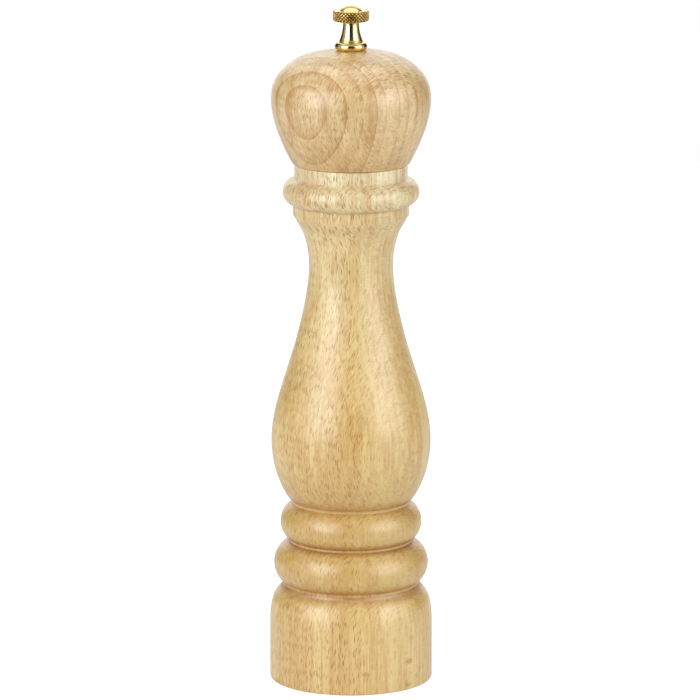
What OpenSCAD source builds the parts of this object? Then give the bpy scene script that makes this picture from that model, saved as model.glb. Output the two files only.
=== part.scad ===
// Turned beech pepper mill, 270 mm tall, with a steel grinding mechanism and a brass finial knob.
// The base stands on Z = 0 and the turning axis is +Z.

/* [Body outline] */
// Radius of the straight base
base_r = 32.25; // [32.1:0.05:33]
// Height of the straight part of the base
base_straight_h = 22.1; // [19:0.1:24]
// Height of the groove above the base
base_h = 39.2; // [38:0.1:40]
// Largest radius of the lower bead
lower_bead_r = 30.6; // [30:0.05:31.5]
// Height of the groove between the two beads
bead_groove_z = 56.6; // [56.4:0.1:57]
// Largest radius of the upper bead
upper_bead_r = 28; // [27.7:0.05:28.6]
// Height of the groove under the belly
belly_groove_z = 72; // [71.6:0.1:72.2]
// Radius of the belly
belly_r = 31.55; // [29:0.05:32]
// Height of the widest place of the belly
belly_z = 96.5; // [90:0.5:100]
// Radius of the slim neck
neck_r = 16.6; // [16:0.05:18.5]
// Height of the slimmest place of the neck
neck_z = 167.2; // [160:0.2:172]
// Radius of the plain collar under the ring bead
collar_r = 22.85; // [22:0.05:24]
// Height where the plain collar starts
collar_z = 187.2; // [186.4:0.1:187.8]
// Largest radius of the ring bead on the collar
ring_bead_r = 27; // [26.4:0.05:27.6]
// Height of the body's top face
body_top_z = 207.4; // [206:0.1:207.6]

/* [Head outline] */
// Radius of the head at its lower edge
head_foot_r = 23.2; // [22:0.1:25]
// Largest radius of the head
head_r = 31.4; // [29:0.1:32]
// Height of the widest place of the head
head_wide_z = 233.3; // [230:0.1:236]
// Height of the flat that the knob stands on
knob_seat_z = 252.3; // [251.5:0.1:253]

/* [Knob] */
// Height of the knob
knob_h = 17.65; // [17:0.05:19]
// Radius of the knob's foot flange
knob_foot_r = 6.45; // [6:0.05:7]
// Radius of the knob's slim stem
knob_stem_r = 3.15; // [2.8:0.05:3.6]
// Radius of the knob's gripping disc
knob_disc_r = 7.25; // [6.5:0.05:8]

/* [Chamber] */
// Radius of the bore that holds the peppercorns
chamber_r = 12; // [12:0.1:12.5]
// Radius of the socket that takes the head's spigot
socket_r = 15.5; // [15.4:0.1:16]
// Depth of that socket
socket_depth = 19.4; // [18.6:0.1:21]
// Radial play of the spigot in its socket
spigot_play = 0.3; // [0.2:0.05:0.4]

/* [Mechanism] */
// Side of the square drive shaft
shaft_side = 6; // [5.6:0.1:6]
// Radius of the threaded shaft ends
thread_r = 2.5; // [2.4:0.05:2.6]
// Depth of the recess in the base
recess_depth = 9; // [8:0.5:10]
// Height of the grinding ring
ring_h = 13; // [12.5:0.5:13.5]
// Gap between the grinding faces at the finest setting
grind_gap = 0.45; // [0.35:0.05:0.6]
// Number of fine teeth on each grinding face
fine_teeth = 30; // [20:1:36]
// Number of coarse breaking flutes on each grinding face
coarse_flutes = 8; // [6:1:10]
// Number of turns of the spring
spring_turns = 6; // [5:1:8]
// Diameter of the spring wire
spring_wire_d = 1; // [0.8:0.1:1.1]

/* [Quality] */
// Number of steps along each curve of the turned outlines
curve_steps = 14; // [8:1:24]

/* [Hidden] */

$fn = 96;
eps = 0.01;
hair = 0.02;                        // play between a wood screw and its pilot hole

beech = [0.80, 0.62, 0.42];
dark_beech = [0.74, 0.53, 0.37];
brass = [0.85, 0.66, 0.32];
bright_steel = [0.75, 0.76, 0.78];
dark_steel = [0.42, 0.43, 0.45];

// Base of the body
base_edge_r = 1;
shoulder_top_r = 27.6;
shoulder_top_z = base_h - 0.9;
recess_r = 24.5;

// Beads: the groove radii and the radius of each bead's arc
groove_1_r = 26.7;
groove_2_r = 24.3;
groove_3_r = 23.4;
lower_bead_arc = 9.7;
upper_bead_arc = 8.8;
ring_bead_arc = 5.3;
lower_bead_z = 47.1;
upper_bead_z = 63.7;
ring_bead_z = 196.4;

// Belly, neck and flare
belly_foot_r = 23.6;
waist_r = 22.1;                     // where the belly's curve turns into the neck's
waist_z = 136;
flare_r = 21.05;
flare_z = collar_z - 3.2;
upper_collar_r = 22.3;
top_edge = 0.4;

// Head
head_foot_z = body_top_z + 0.25;
crown_r = 19.6;                     // where the head's shoulder runs into its flat crown
crown_z = knob_seat_z - 2.8;
knob_seat_r = 6.7;
spigot_r = socket_r - spigot_play;
spigot_z = 193;
spigot_edge = 0.8;
head_bore_r = 4.4;

// Levels of the mechanism, from the bottom up
plate_t = 1;
plate_r = 24.2;
plate_hole_r = 16.5;
ring_z = recess_depth;
plate_z = ring_z - plate_t;
ring_top_z = ring_z + ring_h;
ring_r = 19.1;
ring_play = 0.1;
throat_z = ring_z + 6;
throat_r = 10.9;
ring_mouth_r = 12.6;
ring_skirt_r = 12.9;
bridge_t = 1.2;
bridge_w = 8;
bridge_half_span = 18;
bridge_leg_x = 10.4;
bridge_top_z = ring_top_z + 16.2;
bridge_hole_r = 4.5;
bridge_eye_r = 7.5;
shoulder_z = ring_top_z + bridge_t; // top of the counterbore for the ring and the bridge's feet

burr_z = ring_z - 1;
burr_top_z = ring_top_z + 0.5;
burr_hub_r = 6.4;
burr_pocket_r = 8;
burr_pocket_h = 3;
burr_hole = shaft_side + 0.1;
nut_h = 3.5;
nut_flats = 8;
nut_z = burr_z - 1.5;
burr_washer_r = 6;
burr_washer_t = 1;
burr_washer_z = nut_z + nut_h;

seat_washer_r = 6.5;
seat_washer_t = 0.9;
seat_washer_z = bridge_top_z - bridge_t - 0.1 - seat_washer_t;
spring_mean_r = 5.3;
spring_z0 = burr_top_z;
spring_z1 = seat_washer_z;
spring_sides = 8;
spring_rings = 16;                  // rings in one turn of the wire

square_z0 = burr_z + burr_pocket_h + 0.3;
square_z1 = 240;
shaft_end_z = nut_z - 0.5;
shaft_tip_z = knob_seat_z + 6;
thread_play = 0.05;
shaft_edge = 0.5;

// Screws: places, head sizes and shanks
plate_screw_at = 21.7;
plate_screw_head_r = 1.9;
plate_screw_head_h = 1.4;
plate_screw_r = 1.2;
plate_screw_l = 9;
bridge_screw_x = 15;
bridge_screw_head_r = 1.9;
bridge_screw_r = 1;
bridge_screw_l = 9;
drive_plate_r = 12.5;
drive_plate_t = 1.2;
drive_plate_z = spigot_z - drive_plate_t;
drive_plate_hole = shaft_side + 0.15;
drive_screw_x = 9.2;
drive_screw_head_r = 1.8;
drive_screw_head_h = 1.4;
drive_screw_r = 0.95;
drive_screw_l = 10;

// Knob, as heights above its own foot
knob_z = knob_seat_z + 0.05;
knob_foot_h = 3.2;
knob_foot_arc = 1.78;
knob_collar_r = 4.75;
knob_collar_h = 3.9;
knob_stem_top = 10.6;
knob_disc_z = 11.5;
knob_disc_h = 4.1;
knob_disc_edge = 0.5;
knob_dome_r = 4.9;
knob_bore_depth = 6.7;

// A cubic curve from a to b. Its handles ca and cb are fractions of the way from a to b.
function mix(a, b, f) = [a[0] + (b[0] - a[0]) * f[0], a[1] + (b[1] - a[1]) * f[1]];
function cubic(p0, p1, p2, p3, t) =
    pow(1 - t, 3) * p0 + 3 * pow(1 - t, 2) * t * p1 + 3 * (1 - t) * t * t * p2 + t * t * t * p3;
function curve(a, b, ca, cb) =
    [for (i = [0:curve_steps]) cubic(a, mix(a, b, ca), mix(a, b, cb), b, i / curve_steps)];

// A round bead that stands out to top_r at height z, cut off at the heights z0 and z1
function bead(top_r, z, arc_r, z0, z1) =
    let (a0 = asin((z0 - z) / arc_r), a1 = asin((z1 - z) / arc_r))
    [for (i = [0:curve_steps])
        let (a = a0 + (a1 - a0) * i / curve_steps)
        [top_r - arc_r + arc_r * cos(a), z + arc_r * sin(a)]];

// A quarter or other part of a circle round the point c
function arc(c, r, from, to, steps = 6) =
    [for (i = [0:steps])
        let (a = from + (to - from) * i / steps)
        [c[0] + r * cos(a), c[1] + r * sin(a)]];

function body_outline() = concat(
    [[0, 0]],
    arc([base_r - base_edge_r, base_edge_r], base_edge_r, -90, 0),
    curve([base_r, base_straight_h], [shoulder_top_r, shoulder_top_z], [0, 0.92], [0.91, 0.84]),
    [[groove_1_r, base_h]],
    bead(lower_bead_r, lower_bead_z, lower_bead_arc, base_h + 0.5, bead_groove_z - 0.3),
    [[groove_2_r, bead_groove_z]],
    bead(upper_bead_r, upper_bead_z, upper_bead_arc, bead_groove_z + 0.4, belly_groove_z - 0.6),
    [[groove_3_r, belly_groove_z]],
    curve([belly_foot_r, belly_groove_z + 0.6], [belly_r, belly_z], [0.16, 0], [1, 0.43]),
    curve([belly_r, belly_z + eps], [waist_r, waist_z], [0, 0.32], [0.54, 0.61]),
    curve([waist_r, waist_z + eps], [neck_r, neck_z], [1.1, 0.7], [1, 0.98]),
    curve([neck_r, neck_z + eps], [flare_r, flare_z], [0, 0.26], [0.21, 0.7]),
    [[collar_r, collar_z]],
    bead(ring_bead_r, ring_bead_z, ring_bead_arc, ring_bead_z - 5.15, ring_bead_z + 5.2),
    [[upper_collar_r, ring_bead_z + 5.4],
     [upper_collar_r, body_top_z - top_edge],
     [upper_collar_r - top_edge, body_top_z],
     [0, body_top_z]]);

function head_outline() = concat(
    [[0, spigot_z],
     [spigot_r - spigot_edge, spigot_z],
     [spigot_r, spigot_z + spigot_edge],
     [spigot_r, head_foot_z],
     [head_foot_r - top_edge, head_foot_z]],
    curve([head_foot_r, head_foot_z + top_edge], [head_r, head_wide_z], [1, 0.6], [1, 0.92]),
    curve([head_r, head_wide_z + eps], [crown_r, crown_z], [0, 0.24], [0.07, 0.68]),
    curve([crown_r - eps, crown_z + eps], [knob_seat_r, knob_seat_z], [0.16, 0.34], [0.54, 0.75]),
    [[0, knob_seat_z]]);

function knob_outline() = concat(
    [[0, 0]],
    bead(knob_foot_r, knob_foot_h / 2, knob_foot_arc, 0, knob_foot_h),
    [[knob_collar_r, knob_foot_h + 0.1],
     [knob_collar_r, knob_collar_h]],
    curve([knob_collar_r - 0.2, knob_collar_h + eps], [knob_stem_r, knob_stem_top], [0.55, 0.3], [1, 0.6]),
    [[knob_stem_r, knob_disc_z],
     [knob_disc_r - knob_disc_edge, knob_disc_z],
     [knob_disc_r, knob_disc_z + knob_disc_edge],
     [knob_disc_r, knob_disc_z + knob_disc_h - knob_disc_edge],
     [knob_disc_r - knob_disc_edge, knob_disc_z + knob_disc_h]],
    dome(knob_dome_r, knob_disc_z + knob_disc_h, knob_h));

// Points of a round cap that starts at radius r and height z0 and closes on the axis at z1
function dome(r, z0, z1) =
    let (h = z1 - z0, sphere_r = (r * r + h * h) / (2 * h), reach = asin(r / sphere_r))
    [for (i = [0:curve_steps])
        let (a = reach * (1 - i / curve_steps))
        [sphere_r * sin(a), z1 - sphere_r + sphere_r * cos(a)]];

function ring_bore(z) =
    z < throat_z
        ? ring_skirt_r + (throat_r - ring_skirt_r) * (z - ring_z) / (throat_z - ring_z)
        : throat_r + (ring_mouth_r - throat_r) * (z - throat_z) / (ring_top_z - throat_z);

module turned(points) {
    rotate_extrude() polygon(points);
}

module pilot_hole(r, z0, z1) {
    translate([0, 0, z0]) cylinder(r = r, h = z1 - z0);
}

module at_three(radius) {
    for (i = [0:2]) rotate([0, 0, 90 + i * 120]) translate([radius, 0, 0]) children();
}

module square_bar(side, z0, z1) {
    translate([-side / 2, -side / 2, z0]) cube([side, side, z1 - z0]);
}

// Cross recess for a screwdriver, cut into a head whose face is at height z and looks down
module cross_recess(size, depth, z) {
    for (a = [0, 90])
        rotate([0, 0, a]) translate([-size / 2, -size / 8, z - eps]) cube([size, size / 4, depth + eps]);
}

// A screw that points up: its head hangs below z, and its shank goes into the wood above z
module pan_screw(head_r, head_h, shank_r, shank_l, z) {
    edge = head_h * 0.45;
    difference() {
        union() {
            translate([0, 0, z - head_h]) cylinder(r1 = head_r - edge, r2 = head_r, h = edge);
            translate([0, 0, z - head_h + edge]) cylinder(r = head_r, h = head_h - edge);
            translate([0, 0, z - eps]) cylinder(r = shank_r, h = shank_l * 0.75 + eps);
            translate([0, 0, z + shank_l * 0.75 - eps]) cylinder(r1 = shank_r, r2 = 0.2, h = shank_l * 0.25);
        }
        cross_recess(head_r * 1.2, head_h * 0.5, z - head_h);
    }
}

module flat_screw(head_r, head_h, shank_r, shank_l, z) {
    difference() {
        union() {
            translate([0, 0, z]) cylinder(r1 = head_r, r2 = shank_r, h = head_h);
            translate([0, 0, z + head_h - eps]) cylinder(r = shank_r, h = shank_l * 0.7);
            translate([0, 0, z + head_h + shank_l * 0.7 - 2 * eps])
                cylinder(r1 = shank_r, r2 = 0.2, h = shank_l * 0.3);
        }
        cross_recess(head_r * 1.2, head_h * 0.5, z);
    }
}

// Slanted cuts round a grinding face. Each cut is a box that follows the face from (r0, z0) to
// (r1, z1), is sunk into the metal by depth and leans round the axis by lean degrees.
module flutes(count, r0, z0, r1, z1, width, depth, lean) {
    slope = atan2(r1 - r0, z1 - z0);
    run = norm([r1 - r0, z1 - z0]) + 3;
    for (i = [0:count - 1])
        rotate([0, 0, i * 360 / count])
            translate([(r0 + r1) / 2, 0, (z0 + z1) / 2])
                rotate([0, slope, 0])
                    rotate([lean, 0, 0])
                        translate([-depth, -width / 2, -run / 2]) cube([2 * depth, width, run]);
}

module body() {
    color(beech)
        difference() {
            turned(body_outline());
            translate([0, 0, -eps]) cylinder(r = recess_r, h = recess_depth + eps);
            translate([0, 0, -eps]) cylinder(r = ring_r + ring_play, h = shoulder_z + eps);
            cylinder(r = chamber_r, h = body_top_z);
            translate([0, 0, body_top_z - socket_depth]) cylinder(r = socket_r, h = socket_depth + eps);
            at_three(plate_screw_at)
                pilot_hole(plate_screw_r + hair, recess_depth - eps, plate_z + plate_screw_l + 0.5);
            for (x = [-bridge_screw_x, bridge_screw_x])
                translate([x, 0, 0])
                    pilot_hole(bridge_screw_r + hair, shoulder_z - eps, shoulder_z + bridge_screw_l + 0.5);
        }
}

module grinding_ring() {
    color(dark_steel)
        difference() {
            turned([[ring_skirt_r, ring_z], [ring_r - 0.4, ring_z], [ring_r, ring_z + 0.4],
                    [ring_r, ring_top_z - 0.4], [ring_r - 0.4, ring_top_z],
                    [ring_mouth_r, ring_top_z], [throat_r, throat_z]]);
            flutes(fine_teeth, ring_skirt_r, ring_z, throat_r, throat_z, 0.9, 0.7, 14);
            flutes(coarse_flutes, throat_r, throat_z, ring_mouth_r, ring_top_z, 3, 1.6, 24);
        }
}

module grinding_burr() {
    color(dark_steel)
        difference() {
            turned([[0, burr_z],
                    [ring_bore(ring_z) - grind_gap, burr_z],
                    [ring_bore(ring_z) - grind_gap, ring_z],
                    [throat_r - grind_gap, throat_z],
                    [burr_hub_r + 1, throat_z + 4.5],
                    [burr_hub_r, throat_z + 5.5],
                    [burr_hub_r, burr_top_z],
                    [0, burr_top_z]]);
            flutes(fine_teeth, ring_skirt_r - grind_gap, ring_z, throat_r - grind_gap, throat_z,
                   0.9, 0.7, -14);
            flutes(coarse_flutes, throat_r - grind_gap, throat_z, burr_hub_r + 1.2, throat_z + 4.5,
                   1.8, 1.5, -30);
            translate([0, 0, burr_z - eps]) cylinder(r = burr_pocket_r, h = burr_pocket_h + eps);
            square_bar(burr_hole, burr_z, burr_top_z + eps);
        }
}

module retainer_plate() {
    color(bright_steel)
        difference() {
            translate([0, 0, plate_z]) cylinder(r = plate_r, h = plate_t);
            translate([0, 0, plate_z - eps]) cylinder(r = plate_hole_r, h = plate_t + 2 * eps);
            at_three(plate_screw_at) pilot_hole(plate_screw_r + 0.1, plate_z - eps, ring_z + eps);
        }
}

module retainer_screw(i) {
    color(bright_steel)
        rotate([0, 0, 90 + (i - 1) * 120])
            translate([plate_screw_at, 0, 0])
                pan_screw(plate_screw_head_r, plate_screw_head_h, plate_screw_r, plate_screw_l, plate_z);
}

// Right half of the bridge's strap, seen from the front: the upper side from the middle of the
// top to the end of the foot, or the lower side in the same order
function strap_side(upper) =
    let (bend_in = 0.8,
         bend_out = bend_in + bridge_t,
         top = [bridge_leg_x - bend_out, bridge_top_z - bend_out],
         foot = [bridge_leg_x + bend_in, shoulder_z + bend_in])
    concat(arc(top, upper ? bend_out : bend_in, 90, 0),
           arc(foot, upper ? bend_in : bend_out, 180, 270),
           [[bridge_half_span, upper ? shoulder_z : ring_top_z]]);
function flipped(points) = [for (i = [len(points) - 1:-1:0]) [-points[i][0], points[i][1]]];
function reversed(points) = [for (i = [len(points) - 1:-1:0]) points[i]];

// A bent steel strap: feet against the shoulder of the body, two legs and a round eye on top
module shaft_bridge() {
    outline = concat(flipped(strap_side(true)), strap_side(true),
                     reversed(strap_side(false)), reversed(flipped(strap_side(false))));
    color(bright_steel)
        difference() {
            union() {
                translate([0, bridge_w / 2, 0]) rotate([90, 0, 0]) linear_extrude(bridge_w) polygon(outline);
                translate([0, 0, bridge_top_z - bridge_t]) cylinder(r = bridge_eye_r, h = bridge_t);
            }
            pilot_hole(bridge_hole_r, bridge_top_z - 2 * bridge_t, bridge_top_z + eps);
            for (x = [-bridge_screw_x, bridge_screw_x])
                translate([x, 0, ring_top_z - eps])
                    cylinder(r1 = bridge_screw_head_r + hair, r2 = bridge_screw_r + hair,
                             h = bridge_t + 2 * eps);
        }
}

module bridge_screw(i) {
    color(bright_steel)
        translate([i == 1 ? bridge_screw_x : -bridge_screw_x, 0, 0])
            flat_screw(bridge_screw_head_r, bridge_t, bridge_screw_r, bridge_screw_l, ring_top_z);
}

module spring_seat_washer() {
    color(bright_steel)
        difference() {
            translate([0, 0, seat_washer_z]) cylinder(r = seat_washer_r, h = seat_washer_t);
            square_bar(shaft_side + 0.2, seat_washer_z - eps, seat_washer_z + seat_washer_t + eps);
        }
}

// Compression spring: a tube swept along a helix, with one flat coil at each end
module spring() {
    wire_r = spring_wire_d / 2;
    low = spring_z0 + wire_r;
    high = spring_z1 - wire_r;
    count = spring_turns * spring_rings;
    // Height along the wire: the end turns lie almost flat, and the others share the rest
    flat_rise = spring_wire_d * 1.05;
    function rise(turn) =
        turn < 1 ? flat_rise * turn
        : turn > spring_turns - 1 ? high - low - flat_rise * (spring_turns - turn)
        : flat_rise + (high - low - 2 * flat_rise) * (turn - 1) / (spring_turns - 2);
    points = [for (i = [0:count], k = [0:spring_sides - 1])
        let (turn = i / spring_rings, a = 360 * turn, b = 360 * k / spring_sides,
             r = spring_mean_r + wire_r * cos(b))
        [r * cos(a), r * sin(a), low + rise(turn) + wire_r * sin(b)]];
    sides = [for (i = [0:count - 1], k = [0:spring_sides - 1])
        let (a = i * spring_sides + k, b = i * spring_sides + (k + 1) % spring_sides)
        [a, b, b + spring_sides, a + spring_sides]];
    first = [for (k = [spring_sides - 1:-1:0]) k];
    last = [for (k = [0:spring_sides - 1]) count * spring_sides + k];
    color(bright_steel)
        polyhedron(points = points, faces = concat(sides, [first], [last]), convexity = 10);
}

module drive_shaft() {
    color(bright_steel)
        union() {
            square_bar(shaft_side, square_z0, square_z1);
            translate([0, 0, shaft_end_z + shaft_edge])
                cylinder(r = thread_r, h = shaft_tip_z - shaft_end_z - 2 * shaft_edge);
            translate([0, 0, shaft_end_z])
                cylinder(r1 = thread_r - shaft_edge, r2 = thread_r, h = shaft_edge);
            translate([0, 0, shaft_tip_z - shaft_edge])
                cylinder(r1 = thread_r, r2 = thread_r - shaft_edge, h = shaft_edge);
        }
}

module burr_washer() {
    color(bright_steel)
        difference() {
            translate([0, 0, burr_washer_z]) cylinder(r = burr_washer_r, h = burr_washer_t);
            pilot_hole(thread_r + 0.2, burr_washer_z - eps, burr_washer_z + burr_washer_t + eps);
        }
}

module burr_nut() {
    across_corners = nut_flats / cos(30);
    color(bright_steel)
        difference() {
            translate([0, 0, nut_z]) cylinder(d = across_corners, h = nut_h, $fn = 6);
            pilot_hole(thread_r + thread_play, nut_z - eps, nut_z + nut_h + eps);
        }
}

module head() {
    color(dark_beech)
        difference() {
            turned(head_outline());
            pilot_hole(head_bore_r, spigot_z - eps, knob_seat_z + eps);
            for (x = [-drive_screw_x, drive_screw_x])
                translate([x, 0, 0])
                    pilot_hole(drive_screw_r + hair, spigot_z - eps, drive_plate_z + drive_screw_l + 0.5);
        }
}

module drive_plate() {
    color(bright_steel)
        difference() {
            translate([0, 0, drive_plate_z]) cylinder(r = drive_plate_r, h = drive_plate_t);
            square_bar(drive_plate_hole, drive_plate_z - eps, spigot_z + eps);
            for (x = [-drive_screw_x, drive_screw_x])
                translate([x, 0, 0]) pilot_hole(drive_screw_r + 0.1, drive_plate_z - eps, spigot_z + eps);
        }
}

module drive_plate_screw(i) {
    color(bright_steel)
        translate([i == 1 ? drive_screw_x : -drive_screw_x, 0, 0])
            pan_screw(drive_screw_head_r, drive_screw_head_h, drive_screw_r, drive_screw_l, drive_plate_z);
}

module knob() {
    color(brass)
        difference() {
            translate([0, 0, knob_z]) turned(knob_outline());
            pilot_hole(thread_r + thread_play, knob_z - eps, knob_z + knob_bore_depth);
        }
}

body();
grinding_ring();
retainer_plate();
retainer_screw(1);  // retainer_screw_1
retainer_screw(2);  // retainer_screw_2
retainer_screw(3);  // retainer_screw_3
shaft_bridge();
bridge_screw(1);  // bridge_screw_1
bridge_screw(2);  // bridge_screw_2
spring_seat_washer();
spring();
drive_shaft();
grinding_burr();
burr_washer();
burr_nut();
head();
drive_plate();
drive_plate_screw(1);  // drive_plate_screw_1
drive_plate_screw(2);  // drive_plate_screw_2
knob();
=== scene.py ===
"""The looks of a turned beech pepper mill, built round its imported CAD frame. Meshes, lights and the
camera are in metres. Outlines and materials count in millimetres."""

import math

import bmesh
import bpy
import numpy as np
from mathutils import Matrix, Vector


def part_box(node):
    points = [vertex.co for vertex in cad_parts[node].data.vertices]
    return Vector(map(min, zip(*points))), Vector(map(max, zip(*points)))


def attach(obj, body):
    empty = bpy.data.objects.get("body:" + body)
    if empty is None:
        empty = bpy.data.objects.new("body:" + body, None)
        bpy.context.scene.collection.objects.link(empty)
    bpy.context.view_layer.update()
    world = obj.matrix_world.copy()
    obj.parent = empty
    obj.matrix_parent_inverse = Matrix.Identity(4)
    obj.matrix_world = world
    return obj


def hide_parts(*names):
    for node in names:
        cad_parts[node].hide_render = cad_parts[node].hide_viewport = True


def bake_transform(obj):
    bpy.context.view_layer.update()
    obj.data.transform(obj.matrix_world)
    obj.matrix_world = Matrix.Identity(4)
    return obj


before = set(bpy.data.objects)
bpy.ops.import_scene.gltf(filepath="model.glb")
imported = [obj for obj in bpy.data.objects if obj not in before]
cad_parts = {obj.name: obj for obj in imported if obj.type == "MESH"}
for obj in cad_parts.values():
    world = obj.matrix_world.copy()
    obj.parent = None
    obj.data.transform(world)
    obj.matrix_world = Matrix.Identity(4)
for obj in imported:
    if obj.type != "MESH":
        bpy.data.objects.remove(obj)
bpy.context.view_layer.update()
MM = 0.001


# ---------------------------------------------------------------- places taken from the frame

BODY_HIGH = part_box("body")[1]
HEAD_LOW, HEAD_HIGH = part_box("head")
KNOB_LOW, KNOB_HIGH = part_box("knob")
RING_LOW, RING_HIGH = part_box("grinding_ring")
SPRING_LOW, SPRING_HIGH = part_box("spring")
BRIDGE_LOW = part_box("shaft_bridge")[0]

BASE_R = BODY_HIGH.x
BODY_TOP = BODY_HIGH.z
HEAD_R = HEAD_HIGH.x
KNOB_SEAT = HEAD_HIGH.z
RING_R = RING_HIGH.x


# ---------------------------------------------------------------- outlines

def cubic(a, b, ca, cb, steps):
    """A curve from a to b. Its handles are fractions of the way from a to b."""
    a, b = np.array(a, float), np.array(b, float)
    p1, p2 = a + (b - a) * np.array(ca), a + (b - a) * np.array(cb)
    points = []
    for t in np.linspace(0, 1, steps + 1):
        points.append((1 - t) ** 3 * a + 3 * (1 - t) ** 2 * t * p1 + 3 * (1 - t) * t * t * p2 + t ** 3 * b)
    return [tuple(p) for p in points]


def arc(centre, r, start, end, steps):
    """Points round a centre, from one angle to another in degrees."""
    return [(centre[0] + r * math.cos(math.radians(a)), centre[1] + r * math.sin(math.radians(a)))
            for a in np.linspace(start, end, steps + 1)]


def bead(top_r, z, r, z0, z1, steps=22):
    """A round bead that stands out to top_r at height z, cut off at z0 and z1."""
    a0, a1 = math.degrees(math.asin((z0 - z) / r)), math.degrees(math.asin((z1 - z) / r))
    return arc((top_r - r, z), r, a0, a1, steps)


def in_metres(points):
    return [(r * MM, z * MM) for r, z in points]


# Heights of the turned grooves, from the base up
BASE_GROOVE, BEAD_GROOVE, BELLY_GROOVE, COLLAR_GROOVE, RIM_GROOVE = 39.2, 56.6, 72.0, 190.9, 201.8


def body_outline():
    """The whole section of the body, outside and inside, as a closed loop."""
    base_r, top = BASE_R / MM, BODY_TOP / MM
    shoulder_r, groove_r, belly_r, waist_r, neck_r = 27.6, 23.4, 31.55, 22.1, 16.6
    flare_r, collar_r, rim_r, rim_edge = 21.05, 22.85, 22.3, 0.35
    waist_z, neck_z, flare_z = 136.0, 167.2, 184.0
    recess_r, recess = 24.5, RING_LOW.z / MM
    counterbore_r = RING_R / MM + 0.1
    shoulder = BRIDGE_LOW.z / MM + 1.2
    chamber_r, socket_r, socket = 12.0, 15.5, top - 19.4
    base = (
        [(recess_r + 0.5, 0.0)]
        + arc((base_r - 1.0, 1.0), 1.0, -90, 0, 8)
        + [(base_r, 8.0), (base_r, 15.0)]
        + cubic((base_r, 22.1), (shoulder_r, 38.3), (0, 0.92), (0.91, 0.84), 30)
        + arc((27.35, 38.85), 0.55, 150, 215, 4))
    beads = (
        bead(30.6, 47.1, 9.7, BASE_GROOVE + 0.5, BEAD_GROOVE - 0.7)
        + [(24.55, BEAD_GROOVE - 0.6), (24.5, BEAD_GROOVE + 0.3)]
        + bead(28.0, 63.7, 8.8, BEAD_GROOVE + 0.6, BELLY_GROOVE - 0.6)
        + [(groove_r, BELLY_GROOVE)])
    belly_and_neck = (
        cubic((groove_r + 0.2, BELLY_GROOVE + 0.6), (belly_r, 96.5), (0.16, 0), (1, 0.43), 34)
        + cubic((belly_r, 96.7), (waist_r, waist_z), (0, 0.32), (0.54, 0.61), 34)[1:]
        + cubic((waist_r, waist_z), (neck_r, neck_z), (1.1, 0.7), (1, 0.98), 30)[1:]
        + cubic((neck_r, neck_z), (flare_r, flare_z), (0, 0.26), (0.21, 0.7), 22)[1:])
    collar = (
        [(collar_r - 0.15, 187.0), (collar_r, 187.25), (collar_r, 190.6)]
        + bead(27.0, 196.4, 5.3, 191.25, 201.6, 20)
        + [(rim_r, 201.9), (rim_r, 204.5), (rim_r, top - 0.45)]
        + arc((rim_r - rim_edge, top - rim_edge), rim_edge, 0, 90, 4))
    inside = (
        [(socket_r + 0.5, top), (socket_r, top - 0.5), (socket_r, socket), (chamber_r + 0.4, socket),
         (chamber_r, socket - 0.4), (chamber_r, shoulder), (counterbore_r, shoulder),
         (counterbore_r, recess), (recess_r, recess), (recess_r, 0.5)])
    return in_metres(base + beads + belly_and_neck + collar + inside)


def head_outline():
    """The section of the head: spigot, flank, crown and the bore for the shaft."""
    foot, seat, wide_r, wide_z = BODY_TOP / MM + 0.25, KNOB_SEAT / MM, HEAD_R / MM, 233.3
    spigot, spigot_r, bore_r = HEAD_LOW.z / MM, 15.2, 4.4
    foot_r, foot_edge, crown_r, crown_z = 22.8, 0.4, 19.6, 249.5
    outside = (
        [(bore_r + 0.3, spigot), (spigot_r - 0.8, spigot), (spigot_r, spigot + 0.8), (spigot_r, foot),
         (foot_r - 0.2, foot)]
        + arc((foot_r, foot + foot_edge), foot_edge, -90, 0, 4)
        + cubic((foot_r + foot_edge, foot + foot_edge), (wide_r, wide_z), (1, 0.6), (1, 0.92), 40)[1:]
        + cubic((wide_r, wide_z), (crown_r, crown_z), (0, 0.24), (0.07, 0.68), 34)[1:]
        + cubic((crown_r, crown_z), (6.7, seat), (0.16, 0.34), (0.54, 0.75), 20)[1:]
        + [(bore_r + 0.2, seat), (bore_r, seat - 0.2), (bore_r, spigot + 0.3)])
    return in_metres(outside)


def knob_outline():
    """The section of the knob's foot and stem, up to the knurled disc."""
    foot = KNOB_LOW.z / MM
    up = (
        [(2.55, 0.0), (4.9, 0.0)]
        + arc((5.25, 0.35), 0.35, -90, -40, 3)
        + bead(6.45, 1.6, 1.78, 0.55, 3.0, 18)
        + [(5.15, 3.22), (4.78, 3.28)]
        + arc((4.55, 3.65), 0.22, -60, 60, 5)
        + cubic((4.55, 3.95), (3.15, 10.6), (0.55, 0.3), (1, 0.6), 30)
        + arc((3.75, 10.9), 0.6, 180, 90, 6))
    return in_metres([(r, foot + z) for r, z in up])


# The knob's knurled disc, above the knob's foot, and how far its crests lie inside the CAD part
DISC_LOW, DISC_HIGH, KNURL_INSET = 11.5 * MM, 15.6 * MM, 0.15 * MM


# ---------------------------------------------------------------- mesh helpers

def new_object(name, data):
    obj = bpy.data.objects.new(name, data)
    bpy.context.scene.collection.objects.link(obj)
    return obj


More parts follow.
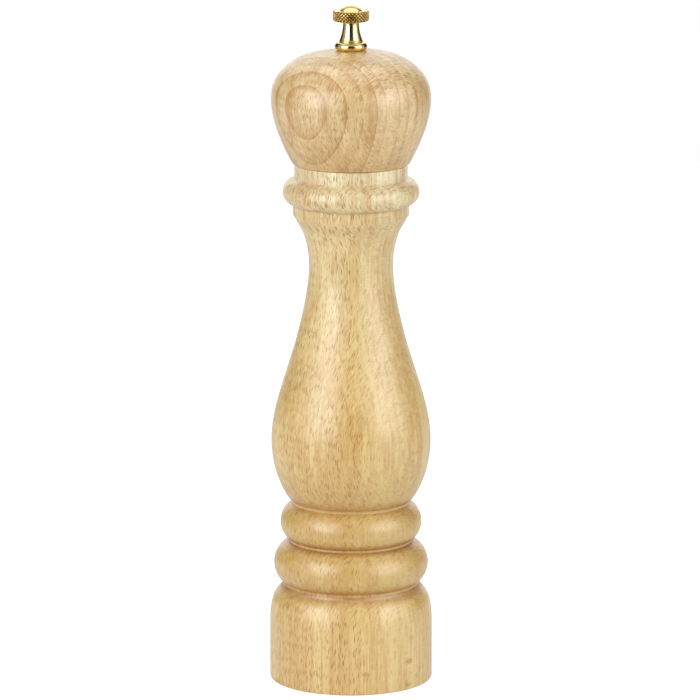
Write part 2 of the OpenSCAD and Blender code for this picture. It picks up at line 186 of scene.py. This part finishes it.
def mesh_object(name, verts, faces, crease=32.0):
    """A smooth-shaded mesh whose edges stay sharp where two faces meet at more than crease degrees."""
    mesh = bpy.data.meshes.new(name)
    mesh.from_pydata([tuple(v) for v in verts], [], [tuple(f) for f in faces])
    bm = bmesh.new()
    bm.from_mesh(mesh)
    bmesh.ops.remove_doubles(bm, verts=bm.verts, dist=1e-7)
    bmesh.ops.recalc_face_normals(bm, faces=bm.faces)
    limit = math.radians(crease)
    for edge in bm.edges:
        edge.smooth = len(edge.link_faces) == 2 and edge.calc_face_angle(0.0) < limit
    for face in bm.faces:
        face.smooth = True
    bm.to_mesh(mesh)
    bm.free()
    return new_object(name, mesh)


def turned(name, loop, segments=256, crease=32.0, wobble=None):
    """A closed section loop turned round Z. wobble(angle, r, z) may move a point's radius."""
    loop = [p for i, p in enumerate(loop) if math.dist(p, loop[i - 1]) > 1e-6]
    rows, verts, faces = len(loop), [], []
    for s in range(segments):
        a = 2 * math.pi * s / segments
        for r, z in loop:
            rr = r if wobble is None else wobble(a, r, z)
            verts.append((rr * math.cos(a), rr * math.sin(a), z))
    for s in range(segments):
        t = (s + 1) % segments
        for i in range(rows):
            j = (i + 1) % rows
            faces.append((s * rows + i, t * rows + i, t * rows + j, s * rows + j))
    return mesh_object(name, verts, faces, crease)


# ---------------------------------------------------------------- node helpers

class Net:
    """A small helper that builds one material's node tree."""

    def __init__(self, name):
        self.material = bpy.data.materials.new(name)
        self.material.use_nodes = True
        self.tree = self.material.node_tree
        self.tree.nodes.clear()
        self.out = self.tree.nodes.new("ShaderNodeOutputMaterial")
        self.shader = self.tree.nodes.new("ShaderNodeBsdfPrincipled")
        self.tree.links.new(self.shader.outputs[0], self.out.inputs[0])

    def put(self, socket, value):
        if isinstance(value, bpy.types.NodeSocket):
            self.tree.links.new(value, socket)
        else:
            socket.default_value = value

    def node(self, kind, inputs=None, **props):
        n = self.tree.nodes.new(kind)
        for key, value in props.items():
            setattr(n, key, value)
        for key, value in (inputs or {}).items():
            self.put(n.inputs[key], value)
        return n

    def math(self, operation, a, b=0.0, c=None, clamp=False):
        n = self.node("ShaderNodeMath", {0: a, 1: b}, operation=operation, use_clamp=clamp)
        if c is not None:
            self.put(n.inputs[2], c)
        return n.outputs[0]

    def dot(self, a, b):
        return self.node("ShaderNodeVectorMath", {0: a, 1: b}, operation="DOT_PRODUCT").outputs["Value"]

    def axes(self, vector):
        """The X, Y and Z of a vector."""
        return self.node("ShaderNodeSeparateXYZ", {0: vector}).outputs[0:3]

    def length(self, x, y):
        return self.math("SQRT", self.math("ADD", self.math("MULTIPLY", x, x), self.math("MULTIPLY", y, y)))

    def vector(self, x, y, z):
        return self.node("ShaderNodeCombineXYZ", {0: x, 1: y, 2: z}).outputs[0]

    def place(self):
        """The point on the object, in millimetres in its own frame."""
        where = self.node("ShaderNodeTexCoord").outputs["Object"]
        n = self.node("ShaderNodeVectorMath", {0: where, "Scale": 1000.0}, operation="SCALE")
        return n.outputs[0]

    def noise(self, vector, scale=1.0, detail=2.0, roughness=0.5, distortion=0.0):
        n = self.node("ShaderNodeTexNoise", {"Vector": vector, "Scale": scale, "Detail": detail,
                                             "Roughness": roughness, "Distortion": distortion})
        return n.outputs["Fac"]

    def range(self, value, low, high, to_low=0.0, to_high=1.0, smooth=True):
        n = self.node("ShaderNodeMapRange", {0: value, 1: low, 2: high, 3: to_low, 4: to_high},
                      interpolation_type="SMOOTHSTEP" if smooth else "LINEAR")
        return n.outputs[0]

    def spindles(self, vector, low, high):
        """1 in small separate spots of the stretched space of vector, and 0 between them."""
        n = self.node("ShaderNodeTexVoronoi", {"Vector": vector, "Scale": 1.0, "Randomness": 0.68})
        return self.range(n.outputs["Distance"], low, high, 1.0, 0.0)

    def mix(self, factor, a, b, blend="MIX"):
        n = self.node("ShaderNodeMix", data_type="RGBA", blend_type=blend)
        self.put(n.inputs[0], factor)
        self.put(n.inputs[6], a)
        self.put(n.inputs[7], b)
        return n.outputs[2]

    def bump(self, height, distance, strength=1.0):
        n = self.node("ShaderNodeBump", {"Height": height, "Distance": distance, "Strength": strength})
        self.put(self.shader.inputs["Normal"], n.outputs[0])
        return n


def rgb(r, g, b):
    """An sRGB colour, 0 to 255, as a linear RGBA."""
    def linear(c):
        c /= 255.0
        return c / 12.92 if c <= 0.04045 else ((c + 0.055) / 1.055) ** 2.4
    return (linear(r), linear(g), linear(b), 1.0)


# ---------------------------------------------------------------- materials

def painted_groove_shade(net, z, grooves):
    """Painted shade round the grooves, from 0 to 1, where the beads and lips shade each other. Each groove is
    its height, the reach of the painted shade above and below it, and its depth. The floor of a groove
    is left paler, as a painted highlight."""
    shade = 0.0
    for height, above, below, depth in grooves:
        one = net.math("MULTIPLY", net.range(z, height - below, height, 0.0, depth),
                       net.range(z, height, height + above, 1.0, 0.0))
        off = net.math("ABSOLUTE", net.math("SUBTRACT", z, height - 0.15))
        one = net.math("MULTIPLY", one, net.range(off, 0.25, 0.60, 0.25, 1.0))
        shade = net.math("ADD", one, shade)
    return shade


def late_wood(net, grid, radius, width, phase):
    """Growth rings: each a little different in tone, and darkest just before the next begins."""
    wave = net.noise(grid(0.022, 0.009, 0.022), 1.0, 1.0)
    year = net.math("DIVIDE", net.math("ADD", radius, net.math("MULTIPLY", wave, 2.4)), width)
    uneven = net.noise(net.vector(net.math("MULTIPLY", year, 0.9), 0.0, 0.0), 1.0, 0.0)
    year = net.math("ADD", net.math("ADD", year, phase), net.math("MULTIPLY", uneven, 0.8))
    season = net.math("FRACT", year)
    own = net.node("ShaderNodeTexWhiteNoise", {"W": net.math("FLOOR", year)}, noise_dimensions="1D")
    late = net.math("ADD", net.math("MULTIPLY", net.math("POWER", season, 2.0), 0.42),
                    net.math("MULTIPLY", net.math("POWER", season, 18.0), 0.70))
    return net.math("ADD", late, net.math("MULTIPLY", own.outputs["Value"], 0.30))


def ray_flecks(net, grid, broad, dash):
    """The short brown flecks of the rays, fainter where the surface lies along the rays."""
    big = net.spindles(grid(2.1, 1.0 / dash, 0.17), 0.12, 0.34)
    small = net.spindles(grid(2.7, 1.5 / dash, 0.26), 0.12, 0.36)
    fleck = net.math("ADD", net.math("MULTIPLY", big, 1.0), net.math("MULTIPLY", small, 0.66), clamp=True)
    return net.math("MULTIPLY", fleck, net.math("SUBTRACT", 1.0, net.math("MULTIPLY", broad, 0.75)))


def brown_marks(net, p, fibre, marks):
    """Small stains on the front, with ragged edges. Each is its x, z, half width and half height."""
    stain = 0.0
    x, y, z = net.axes(p)
    front = net.math("LESS_THAN", y, 0.0)
    for mark_x, mark_z, half_w, half_h in marks:
        dx = net.math("DIVIDE", net.math("SUBTRACT", x, mark_x), half_w)
        dz = net.math("DIVIDE", net.math("SUBTRACT", z, mark_z), half_h)
        off = net.math("ADD", net.math("MULTIPLY", dx, dx), net.math("MULTIPLY", dz, dz))
        off = net.math("ADD", off, net.math("MULTIPLY", fibre, 2.4))
        stain = net.math("ADD", net.math("MULTIPLY", net.range(off, 1.2, 2.6, 0.95, 0.0), front), stain)
    return stain


def beech(name, heart_side, heart, tones_and_painted_light, dark, ring_width, ring_phase, figure, shift, dash, grooves,
          marks=()):
    """Lacquered beech. heart_side is the azimuth, in degrees from +X, of the heart of the tree, and
    heart is its distance from the mill's axis. tones_and_painted_light lists the heights and colours
    that the pale wood passes through from foot to top, with painted shade and painted highlight in
    them. ring_phase moves the growth rings, in rings, figure is how strongly they show, and shift moves
    the pattern along the grain, so that no two pieces match. dash is the spacing of the flecks along
    the grain. grooves give the painted shade round the grooves, as painted_groove_shade takes them, and
    marks are as brown_marks takes them."""
    net = Net(name)
    p = net.place()
    a = math.radians(heart_side)
    out = (math.cos(a), math.sin(a), 0.0)
    side = (-math.sin(a), math.cos(a), 0.0)
    s, t, height = net.dot(p, out), net.dot(p, side), net.dot(p, (0.0, 0.0, 1.0))
    deep = net.math("SUBTRACT", heart, s)
    radius = net.length(deep, t)
    around = net.math("MULTIPLY", net.math("ARCTAN2", t, deep), heart)
    grain = net.math("ADD", height, shift)

    def grid(across, along, outward):
        """The point in a space where the three directions of the wood are stretched apart."""
        return net.vector(net.math("MULTIPLY", around, across), net.math("MULTIPLY", grain, along),
                          net.math("MULTIPLY", radius, outward))

    # Rays are thin sheets along the radius. Cut across they are short brown flecks, and cut along
    # they are pale ribbons: broad is 1 where the surface lies along them.
    turn = net.node("ShaderNodeTexCoord").outputs["Normal"]
    flat = net.math("ADD", net.math("MULTIPLY", net.dot(turn, out), t),
                    net.math("MULTIPLY", net.dot(turn, side), deep))
    broad = net.range(net.math("DIVIDE", net.math("ABSOLUTE", flat), radius), 0.62, 0.97)
    ribbon = net.range(net.noise(grid(0.50, 2.3, 0.30), 1.0, 1.0, 0.5), 0.35, 0.65)
    fleck = ray_flecks(net, grid, broad, dash)

    # Fibres, streaks and broad bands along the grain
    fibre = net.noise(grid(2.4, 0.06, 1.1), 1.0, 2.0, 0.6)
    streak = net.noise(grid(0.8, 0.015, 0.40), 1.0, 2.0, 0.6)
    band = net.range(net.noise(grid(0.11, 0.008, 0.11), 1.0, 2.0, 0.5), 0.35, 0.65)

    late = late_wood(net, grid, radius, ring_width, ring_phase)
    tone = net.math("ADD", net.math("MULTIPLY", band, 0.36), net.math("MULTIPLY", late, figure))
    tone = net.math("ADD", tone, net.range(fibre, 0.3, 0.7, -0.17, 0.19))
    tone = net.math("ADD", tone, net.range(streak, 0.3, 0.7, -0.15, 0.20))
    tone = net.math("ADD", tone, net.math("MULTIPLY", broad, net.math("MULTIPLY_ADD", ribbon, 0.18, -0.16)))

    # The wood's pale colour from foot to top. Its steps carry painted shade and painted highlight as well as
    # tone
    light = tones_and_painted_light[0][1]
    for (start, _), (stop, next_tone) in zip(tones_and_painted_light, tones_and_painted_light[1:]):
        light = net.mix(net.range(height, start, stop), light, next_tone)
    colour = net.mix(net.math("ADD", tone, 0.0, clamp=True), light, dark)
    brown = tuple(c * k for c, k in zip(dark[:3], (0.62, 0.44, 0.05))) + (1.0,)
    colour = net.mix(fleck, colour, brown)
    # Painted shade round the grooves, with a painted highlight left on each groove's floor
    colour = net.mix(painted_groove_shade(net, height, grooves), colour, (0.66, 0.46, 0.33, 1.0), "MULTIPLY")
    colour = net.mix(brown_marks(net, p, fibre, marks), colour, (0.78, 0.56, 0.32, 1.0), "MULTIPLY")
    net.put(net.shader.inputs["Base Color"], colour)

    rough = net.range(fibre, 0.3, 0.7, 0.36, 0.50)
    rough = net.math("ADD", rough, net.math("MULTIPLY", fleck, 0.10))
    net.put(net.shader.inputs["Roughness"], rough)
    net.shader.inputs["Coat Weight"].default_value = 1.0
    net.shader.inputs["Coat Roughness"].default_value = 0.35
    net.shader.inputs["Coat IOR"].default_value = 1.7
    relief = net.math("SUBTRACT", net.math("MULTIPLY", fibre, 0.35), net.math("MULTIPLY", fleck, 0.8))
    net.bump(relief, 0.03 * MM, 0.6)
    return net.material


def polished_brass():
    """Lacquered polished brass with fine turning marks, and painted shade down in the cuts of the knurl."""
    net = Net("polished_brass")
    p = net.place()
    x, y, z = net.axes(p)
    cloud = net.noise(p, 0.35, 3.0, 0.6)
    marks = net.noise(net.vector(0.0, 0.0, z), 9.0, 2.0, 0.6)
    colour = net.mix(net.range(cloud, 0.3, 0.7), rgb(247, 226, 164), rgb(238, 212, 142))
    low, high = (KNOB_LOW.z + DISC_LOW) / MM + 0.1, (KNOB_LOW.z + DISC_HIGH) / MM - 0.1
    band = net.math("MULTIPLY", net.math("GREATER_THAN", z, low), net.math("LESS_THAN", z, high))
    crest = (KNOB_HIGH.x - KNURL_INSET) / MM
    # Painted shade in the cuts of the knurl, which are also rougher
    shaded_cut = net.math("MULTIPLY", band, net.range(net.length(x, y), crest - 0.36, crest - 0.10, 1.0, 0.0))
    net.put(net.shader.inputs["Base Color"], net.mix(shaded_cut, colour, rgb(152, 118, 52)))
    net.shader.inputs["Metallic"].default_value = 1.0
    rough = net.math("ADD", net.range(cloud, 0.3, 0.7, 0.08, 0.14), net.math("MULTIPLY", shaded_cut, 0.2))
    net.put(net.shader.inputs["Roughness"], rough)
    net.bump(marks, 0.004 * MM, 0.5)
    return net.material


def screw_thread(net, x, y, z, radius, limit, pitch):
    """The depth of a screw thread, from 0 to 1, on every surface nearer the axis than limit."""
    turn = net.math("DIVIDE", net.math("ARCTAN2", y, x), 2.0 * math.pi)
    along = net.math("FRACT", net.math("ADD", net.math("DIVIDE", z, pitch), turn))
    valley = net.math("ABSOLUTE", net.math("MULTIPLY_ADD", along, 2.0, -1.0))
    return net.math("MULTIPLY", valley, net.math("LESS_THAN", radius, limit))


def steel(name, light, dark, rough, direction, grain_scale=6.0, bump=0.006, thread=None):
    """Steel in two tones. direction is "turned" for circular marks, "drawn" for marks along Z, or
    "cloud". bump is the height of the grain, and thread is the limit radius and pitch of a thread,
    whose valleys are bumped in and darkened as painted shade."""
    net = Net(name)
    p = net.place()
    x, y, z = net.axes(p)
    cloud = net.noise(p, 0.5, 4.0, 0.6)
    radius = net.length(x, y)
    if direction == "turned":
        grain = net.noise(net.vector(radius, 0.0, net.math("MULTIPLY", z, 0.3)), grain_scale, 3.0, 0.7)
    elif direction == "drawn":
        grain = net.noise(net.vector(x, y, net.math("MULTIPLY", z, 0.03)), grain_scale, 3.0, 0.7)
    else:
        grain = net.noise(p, grain_scale, 3.0, 0.7)
    tone = net.math("ADD", net.math("MULTIPLY", cloud, 0.6), net.math("MULTIPLY", grain, 0.4))
    colour = net.mix(net.range(tone, 0.3, 0.7), dark, light)
    relief = net.math("MULTIPLY", grain, bump)
    if thread:
        shaded_cut = screw_thread(net, x, y, z, radius, *thread)
        # Painted shade in the valleys of the thread
        colour = net.mix(net.math("MULTIPLY", shaded_cut, 0.75), colour, rgb(70, 68, 66))
        relief = net.math("SUBTRACT", relief, net.math("MULTIPLY", shaded_cut, 0.35))
    net.put(net.shader.inputs["Base Color"], colour)
    net.shader.inputs["Metallic"].default_value = 1.0
    net.put(net.shader.inputs["Roughness"], net.range(tone, 0.3, 0.7, rough + 0.10, rough))
    net.bump(relief, MM, 0.8)
    return net.material


def paper_white(name, value):
    """The matt white of the studio floor, with a trace of unevenness. It is clear from below."""
    net = Net(name)
    cloud = net.noise(net.place(), 0.01, 3.0)
    low, high = (value - 0.01,) * 3 + (1.0,), (value,) * 3 + (1.0,)
    net.put(net.shader.inputs["Base Color"], net.mix(cloud, low, high))
    net.shader.inputs["Roughness"].default_value = 0.9
    net.shader.inputs["Specular IOR Level"].default_value = 0.1
    net.shader.inputs["Emission Color"].default_value = (1.0, 1.0, 1.0, 1.0)
    seen = net.node("ShaderNodeLightPath").outputs["Is Camera Ray"]
    net.put(net.shader.inputs["Emission Strength"], net.math("MULTIPLY_ADD", seen, 0.6, 0.4))
    below = net.node("ShaderNodeNewGeometry").outputs["Backfacing"]
    clear = net.node("ShaderNodeBsdfTransparent").outputs[0]
    both = net.node("ShaderNodeMixShader", {0: below, 1: net.shader.outputs[0], 2: clear})
    net.put(net.out.inputs["Surface"], both.outputs[0])
    return net.material


# ---------------------------------------------------------------- pieces

def dress(piece, material, body, node):
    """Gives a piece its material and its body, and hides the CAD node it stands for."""
    piece.data.materials.clear()
    piece.data.materials.append(material)
    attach(piece, body)
    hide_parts(node)
    return piece


def make_knob():
    """The finial: turned foot and stem, and a disc with a diamond knurl and a low dome."""
    disc_r, disc_low, disc_high = KNOB_HIGH.x - KNURL_INSET, KNOB_LOW.z + DISC_LOW, KNOB_LOW.z + DISC_HIGH
    diamonds, pitch, depth, edge, rows = 30, 1.4 * MM, 0.5 * MM, 0.55 * MM, 40
    bore_r, bore_top = 2.55 * MM, KNOB_LOW.z + 6.7 * MM
    dome_r, dome_h = 4.75 * MM, KNOB_HIGH.z - disc_high
    centre_r = 0.0004 * MM
    hair = 0.01 * MM

    loop = knob_outline() + [(disc_r - 0.9 * MM, disc_low)]
    loop += [(disc_r, disc_low + (disc_high - disc_low) * i / rows) for i in range(rows + 1)]
    loop += [(disc_r - 0.95 * MM, disc_high), (5.35 * MM, disc_high), (5.0 * MM, disc_high - 0.08 * MM)]
    sphere = (dome_r ** 2 + dome_h ** 2) / (2 * dome_h)
    reach = math.degrees(math.asin(dome_r / sphere))
    dome = arc((0.0, KNOB_HIGH.z - sphere), sphere, 90 - reach, 90, 18)
    loop += [(max(r, centre_r), z) for r, z in dome]
    loop += [(centre_r, bore_top + 0.8 * MM), (bore_r, bore_top)]

    def ridge(x):
        return 1.0 - abs(2 * (x - math.floor(x)) - 1)

    def knurl(a, r, z):
        """Two sets of crossing cuts round the disc's rim, whose edges are rounded off."""
        if r < disc_r - hair or z < disc_low - 1e-7 or z > disc_high + 1e-7:
            return r
        u = a * diamonds / (2 * math.pi)
        v = (z - disc_low) / pitch
        groove = min(ridge(u + v), ridge(u - v))
        near = min(z - disc_low, disc_high - z)
        rounding = edge * (1 - min(1.0, near / edge)) ** 1.5
        return disc_r - depth * (1 - min(1.0, groove * 1.5)) - rounding

    return turned("knob_brass", loop, diamonds * 14, 30.0, knurl)


def make_spring():
    """The spring as a swept round wire with its ends ground flat on the seats."""
    wire = 0.5 * MM
    mean = SPRING_HIGH.x - wire
    low, high = SPRING_LOW.z + wire, SPRING_HIGH.z - wire
    turns, per_turn, sides = 6, 48, 14
    flat = 2.1 * wire
    verts, faces = [], []
    steps = turns * per_turn
    for i in range(steps + 1):
        turn = i / per_turn
        if turn < 1:
            z = low + flat * turn
        elif turn > turns - 1:
            z = high - flat * (turns - turn)
        else:
            z = low + flat + (high - low - 2 * flat) * (turn - 1) / (turns - 2)
        a = 2 * math.pi * turn
        for k in range(sides):
            b = 2 * math.pi * k / sides
            r = mean + wire * math.cos(b)
            verts.append((r * math.cos(a), r * math.sin(a), z + wire * math.sin(b)))
    for i in range(steps):
        for k in range(sides):
            n = (k + 1) % sides
            faces.append((i * sides + k, i * sides + n, (i + 1) * sides + n, (i + 1) * sides + k))
    faces.append(tuple(reversed(range(sides))))
    faces.append(tuple(steps * sides + k for k in range(sides)))
    return mesh_object("spring_coil", verts, faces, 50.0)


# ---------------------------------------------------------------- stage, lights and camera

# How bright the studio is round the mill and above it
FRONT_LIGHT, SIDE_LIGHT, CORNER_LIGHT, BACK_LIGHT, TOP_LIGHT = 0.03, 0.45, 0.04, 1.2, 0.50
CAMERA_PLACE, CAMERA_TILT = (-0.0004, -2.2784, 0.6009), 0.2027


def area_light(name, place, aim, size, power, colour=(1.0, 1.0, 1.0)):
    data = bpy.data.lights.new(name, "AREA")
    data.shape = "RECTANGLE"
    data.size, data.size_y = size
    data.energy = power
    data.color = colour
    obj = new_object(name, data)
    obj.location = place
    obj.rotation_euler = (Vector(aim) - Vector(place)).to_track_quat("-Z", "Y").to_euler()
    return obj


def make_stage():
    mesh = bpy.data.meshes.new("floor")
    wide, front, back, hair = 1.2, -0.45, 1.2, 0.0002
    corners = [(-wide, front, 0), (wide, front, 0), (wide, back, 0), (-wide, back, 0)]
    mesh.from_pydata(corners, [], [(0, 1, 2, 3)])
    floor = new_object("floor", mesh)
    floor.location.z = -hair
    floor.data.materials.append(paper_white("studio_floor", 0.35))


def make_world():
    """A white studio. To the camera it is white. The light it gives is dim behind the camera and
    at the back corners, and bright above and right behind the mill, as between two softboxes."""
    world = bpy.data.worlds.new("studio")
    bpy.context.scene.world = world
    world.use_nodes = True
    tree = world.node_tree
    tree.nodes.clear()

    def add(kind, inputs=None, **props):
        n = tree.nodes.new(kind)
        for key, value in props.items():
            setattr(n, key, value)
        for key, value in (inputs or {}).items():
            if isinstance(value, bpy.types.NodeSocket):
                tree.links.new(value, n.inputs[key])
            else:
                n.inputs[key].default_value = value
        return n

    where = add("ShaderNodeTexCoord").outputs["Generated"]
    up = add("ShaderNodeSeparateXYZ", {0: where}).outputs[2]
    level = add("ShaderNodeVectorMath", {0: where, 1: (1.0, 1.0, 0.0)}, operation="MULTIPLY").outputs[0]
    heading = add("ShaderNodeVectorMath", {0: level}, operation="NORMALIZE").outputs[0]
    back = add("ShaderNodeSeparateXYZ", {0: heading}).outputs[1]
    turn = add("ShaderNodeMapRange", {0: back, 1: -1.0, 2: 1.0}).outputs[0]
    ramp = add("ShaderNodeValToRGB", {0: turn})
    stops = [(0.0, FRONT_LIGHT), (0.02, FRONT_LIGHT), (0.05, SIDE_LIGHT), (0.60, SIDE_LIGHT),
             (0.68, CORNER_LIGHT), (0.92, CORNER_LIGHT), (0.955, BACK_LIGHT)]
    elements = ramp.color_ramp.elements
    while len(elements) < len(stops):
        elements.new(0.5)
    for element, (place, value) in zip(elements, stops):
        element.position = place
        element.color = (value, value, value, 1.0)
    high = add("ShaderNodeMapRange", {0: up, 1: 0.45, 2: 0.85}, interpolation_type="SMOOTHSTEP").outputs[0]
    top = add("ShaderNodeMix", {0: high, 6: ramp.outputs[0], 7: (TOP_LIGHT,) * 3 + (1.0,)}, data_type="RGBA")
    given = add("ShaderNodeBackground", {0: top.outputs[2], 1: 1.0})
    seen = add("ShaderNodeBackground", {0: (1.0, 1.0, 1.0, 1.0), 1: 1.0})
    to_camera = add("ShaderNodeLightPath").outputs["Is Camera Ray"]
    both = add("ShaderNodeMixShader", {0: to_camera, 1: given.outputs[0], 2: seen.outputs[0]})
    add("ShaderNodeOutputWorld", {0: both.outputs[0]})


def make_camera():
    data = bpy.data.cameras.new("camera")
    data.lens = 303.0
    data.sensor_width = 36.0
    data.clip_end = 60.0
    camera = new_object("camera", data)
    camera.location = CAMERA_PLACE
    camera.rotation_euler = (math.pi / 2 - CAMERA_TILT, 0.0, 0.0)
    bpy.context.scene.camera = camera


# ---------------------------------------------------------------- build

make_camera()
make_world()
make_stage()
middle = (0.0, 0.0, BODY_TOP * 0.6)
area_light("softbox_left", (-1.02, -0.96, 0.60), middle, (1.2, 1.1), 12.8, (0.975, 1.0, 1.0))
area_light("softbox_right", (1.18, -0.76, 0.60), middle, (1.2, 1.1), 9.2)
area_light("softbox_top", (0.0, 0.3, 1.7), middle, (1.9, 0.9), 5.5)
bpy.context.scene.view_settings.view_transform = "Standard"

# The body's wood tone from foot to top. The darker steps from 42 to 74 mm are painted shade on the beads, and
# the paler steps above 188 mm are a painted highlight on the ring bead and collar.
BODY_TONES_AND_PAINTED_LIGHT = (
    (30.0, rgb(238, 207, 136)), (42.0, rgb(223, 190, 114)), (74.0, rgb(223, 190, 114)),
    (96.0, rgb(239, 208, 137)), (188.0, rgb(244, 221, 159)), (196.0, rgb(250, 235, 184)),
    (205.0, rgb(255, 244, 200)))
# Painted shade round the body's grooves: height, reach above, reach below and depth, in millimetres
BODY_GROOVE_SHADE = (
    (BASE_GROOVE, 3.4, 4.2, 0.95), (BEAD_GROOVE, 3.4, 2.7, 1.0), (BELLY_GROOVE, 6.0, 2.0, 0.55),
    (COLLAR_GROOVE, 2.2, 0.8, 0.45), (RIM_GROOVE, 0.8, 1.2, 0.30))
BODY_MARKS = ((22.9, 11.8, 1.6, 1.3), (22.6, 2.3, 1.3, 0.8), (5.6, 8.7, 1.3, 1.1), (6.7, 8.5, 0.4, 0.9))
BODY_WOOD = beech("beech_body", heart_side=41.0, heart=300.0, tones_and_painted_light=BODY_TONES_AND_PAINTED_LIGHT, dark=rgb(204, 152, 74),
                  ring_width=2.8, ring_phase=0.5, figure=0.34, shift=0.0, dash=5.2,
                  grooves=BODY_GROOVE_SHADE, marks=BODY_MARKS)
# The head's wood tone, darker towards its foot as painted shade, with more painted shade over the lowest 9 mm
# above the joint with the body
HEAD_TONES_AND_PAINTED_SHADE = ((212.0, rgb(238, 205, 140)), (232.0, rgb(246, 219, 162)))
HEAD_WOOD = beech("beech_head", heart_side=234.0, heart=110.0, tones_and_painted_light=HEAD_TONES_AND_PAINTED_SHADE, dark=rgb(200, 147, 78),
                  ring_width=4.9, ring_phase=-0.12, figure=0.66, shift=400.0, dash=4.0,
                  grooves=((207.6, 9.0, 1.0, 0.30),))
BRASS = polished_brass()
BRIGHT = steel("bright_steel", rgb(222, 223, 226), rgb(188, 189, 193), 0.26, "turned")
DARK = steel("hardened_steel", rgb(132, 132, 136), rgb(88, 88, 92), 0.34, "cloud", grain_scale=2.5, bump=0.02)
PLATED = steel("nickel_plate", rgb(228, 226, 220), rgb(200, 198, 192), 0.20, "turned", grain_scale=8.0)
DRAWN = steel("shaft_steel", rgb(214, 215, 218), rgb(172, 173, 178), 0.36, "drawn", grain_scale=5.0,
              thread=(2.6, 0.8))
WIRE = steel("spring_steel", rgb(172, 173, 178), rgb(120, 120, 126), 0.26, "cloud", grain_scale=3.0)
SCREW = steel("screw_steel", rgb(222, 222, 224), rgb(176, 176, 180), 0.24, "cloud", grain_scale=3.0)

dress(turned("body_beech", body_outline()), BODY_WOOD, "mill_body", "body")
dress(turned("head_beech", head_outline()), HEAD_WOOD, "head_assembly", "head")
dress(make_knob(), BRASS, "knob_assembly", "knob")

spring = make_spring()
spring.data.materials.append(WIRE)
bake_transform(spring)
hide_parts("spring")

CARRIED = {
    "grinding_ring": DARK, "grinding_burr": DARK, "retainer_plate": PLATED, "drive_plate": PLATED,
    "shaft_bridge": BRIGHT, "spring_seat_washer": BRIGHT, "burr_washer": BRIGHT, "drive_shaft": DRAWN,
    "burr_nut": SCREW, "retainer_screw_1": SCREW, "retainer_screw_2": SCREW, "retainer_screw_3": SCREW,
    "bridge_screw_1": SCREW, "bridge_screw_2": SCREW, "drive_plate_screw_1": SCREW,
    "drive_plate_screw_2": SCREW}
for node_name, material in CARRIED.items():
    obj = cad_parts[node_name]
    obj.data.materials.clear()
    obj.data.materials.append(material)
